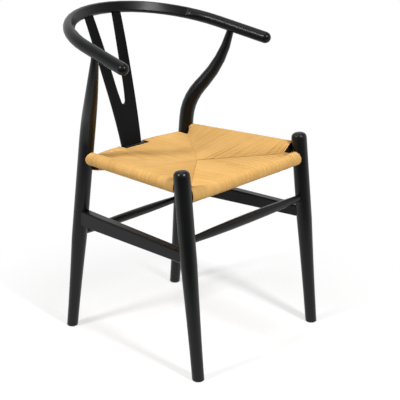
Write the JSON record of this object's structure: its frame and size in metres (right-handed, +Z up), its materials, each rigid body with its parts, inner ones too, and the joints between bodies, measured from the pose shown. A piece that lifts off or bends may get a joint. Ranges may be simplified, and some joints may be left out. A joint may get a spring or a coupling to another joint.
{
  "type": "wishbone chair",
  "caption": "Wooden dining chair with a bent bow for arms and back rail, a forked Y splat, round tapered legs, stretchers and a woven paper-cord seat.",
  "frame": {"origin": "on the floor, in the plane of symmetry, midway between the front of the front feet and the back of the bow", "axes": "+Z up, +Y from the front of the seat to the back, +X to the sitter's left"},
  "size_m": [0.5196, 0.5263, 0.7611],
  "materials": {
    "lacquered_wood": "satin black lacquer over wood",
    "paper_cord": "matt twisted natural paper cord",
    "glide_nylon": "moulded nylon",
    "tack_steel": "plain steel"
  },
  "bodies": {
    "root": {"bow": "lacquered_wood", "back_splat": "lacquered_wood", "left_front_leg": "lacquered_wood", "right_front_leg": "lacquered_wood", "left_rear_leg": "lacquered_wood", "right_rear_leg": "lacquered_wood", "front_seat_rail": "lacquered_wood", "rear_seat_rail": "lacquered_wood", "left_seat_rail": "lacquered_wood", "right_seat_rail": "lacquered_wood", "front_stretcher": "lacquered_wood", "rear_stretcher": "lacquered_wood", "left_side_stretcher": "lacquered_wood", "right_side_stretcher": "lacquered_wood", "front_cord_panel": "paper_cord", "rear_cord_panel": "paper_cord", "left_cord_panel": "paper_cord", "right_cord_panel": "paper_cord", "foot_glides": "glide_nylon", "cord_tacks": "tack_steel"}
  },
  "joints": []
}
